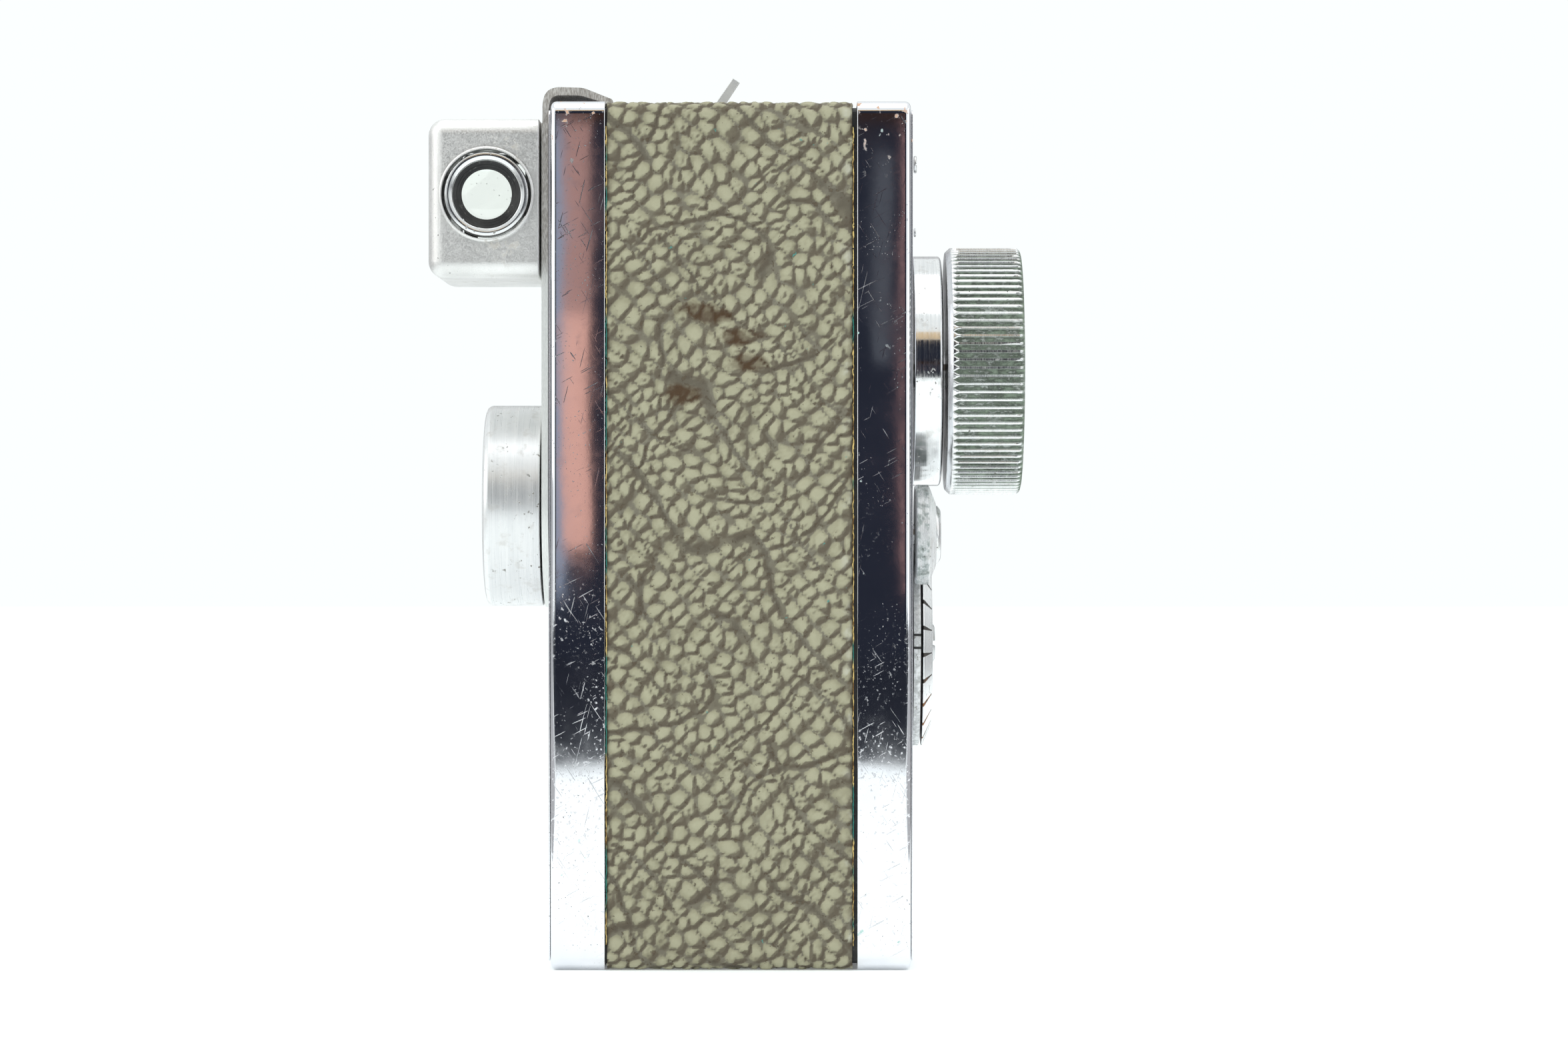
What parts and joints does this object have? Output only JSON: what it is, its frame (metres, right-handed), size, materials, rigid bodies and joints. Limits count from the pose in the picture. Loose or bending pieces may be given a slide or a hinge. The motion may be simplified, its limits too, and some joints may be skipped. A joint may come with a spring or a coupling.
{
  "type": "stereo camera",
  "caption": "Stereo film camera with chrome end frames, leatherette body, winding knob, counter dial, finder and level, standing on one end.",
  "frame": {"origin": "centre of the resting end face of the body, on the plane the camera stands on", "axes": "+Z along the body's long side, from the left-hand end to the right-hand end; +Y the way the lenses look; +X towards the bottom plate with the winding knob"},
  "size_m": [0.0831, 0.051, 0.1264],
  "materials": {
    "chrome": "polished",
    "satin_metal": "satin",
    "steel": "brushed",
    "brass": "satin",
    "black_paint": "matt",
    "leatherette": "grained",
    "glass": "polished"
  },
  "bodies": {
    "camera_body": {"body_shell": "steel", "leatherette_wrap": "leatherette", "top_frame": "chrome", "bottom_frame": "chrome", "top_cover": "chrome", "bottom_cover": "chrome", "frame_screw": "steel", "frame_pin": "steel", "film_chassis": "black_paint", "pressure_plate": "steel", "bearing_plate": "brass", "knob_sleeve": "chrome", "dial_base": "chrome", "finder_bracket": "satin_metal", "finder_housing": "satin_metal", "eyepiece_ring": "chrome", "eyepiece_mask": "black_paint", "eyepiece_lens": "glass", "objective_frame": "black_paint", "objective_lens": "glass", "level_housing": "satin_metal", "level_glass": "glass", "front_plate": "satin_metal", "left_lens_barrel": "chrome", "left_front_lens": "glass", "left_lens_ring": "black_paint", "left_rear_lens": "glass", "right_lens_barrel": "chrome", "right_front_lens": "glass", "right_lens_ring": "black_paint", "right_rear_lens": "glass", "lever_pin": "steel"},
    "winding": {"winding_knob": "chrome", "winding_shaft": "steel", "knob_screw": "steel", "drive_gear": "brass"},
    "sprocket_group": {"sprocket": "steel", "sprocket_shaft": "steel", "sprocket_gear": "brass", "counter_cam": "steel", "release_disc": "satin_metal"},
    "button": {"release_button": "satin_metal"},
    "counter": {"counter_wheel": "brass", "counter_shaft": "steel", "counter_dial": "satin_metal", "dial_screw": "steel"},
    "takeup": {"takeup_spool": "black_paint", "takeup_shaft": "steel", "takeup_gear": "brass"},
    "supply": {"supply_spool": "black_paint", "supply_shaft": "steel"},
    "lever": {"release_lever": "chrome"},
    "shutter": {"shutter_plate": "black_paint"},
    "stops": {"stop_plate": "brass", "stop_knob": "steel"}
  },
  "joints": [
    {"name": "winding_turn", "type": "hinge", "parent": "camera_body", "child": "winding", "pos_m": [0, 0, 0.0833], "axis": [1, 0, 0], "continuous": true},
    {"name": "sprocket_turn", "type": "hinge", "parent": "camera_body", "child": "sprocket_group", "pos_m": [0, -0.0125, 0.0601], "axis": [1, 0, 0], "continuous": true},
    {"name": "takeup_turn", "type": "hinge", "parent": "camera_body", "child": "takeup", "pos_m": [0, 0.00786, 0.1088], "axis": [1, 0, 0], "continuous": true},
    {"name": "counter_turn", "type": "hinge", "parent": "camera_body", "child": "counter", "pos_m": [0, 0.0035, 0.0446], "axis": [1, 0, 0], "continuous": true},
    {"name": "supply_turn", "type": "hinge", "parent": "camera_body", "child": "supply", "pos_m": [0, 0.0079, 0.0112], "axis": [1, 0, 0], "continuous": true},
    {"name": "button_press", "type": "slide", "parent": "sprocket_group", "child": "button", "axis": [-1, 0, 0], "range_m": [0, 0.001], "stiffness_N_per_m": 600, "springref_m": -0.0005},
    {"name": "lever_swing", "type": "hinge", "parent": "camera_body", "child": "lever", "pos_m": [-0.0085, 0.0164, 0.1132], "axis": [0, 1, 0], "range_deg": [-30, 0]},
    {"name": "shutter_drop", "type": "slide", "parent": "camera_body", "child": "shutter", "axis": [0, 0, 1], "range_m": [-0.012, 0], "stiffness_N_per_m": 20, "springref_m": 0.01},
    {"name": "stop_shift", "type": "slide", "parent": "camera_body", "child": "stops", "axis": [0, 0, 1], "range_m": [-0.009, 0.009]}
  ],
  "couplings": [
    {"joint": "sprocket_turn", "follows": "winding_turn", "ratio": -2.8095},
    {"joint": "takeup_turn", "follows": "winding_turn", "ratio": -2.6818},
    {"joint": "counter_turn", "follows": "winding_turn", "ratio": 0.11706},
    {"joint": "lever_swing", "follows": "shutter_drop", "rad_per_m": 43.633}
  ]
}
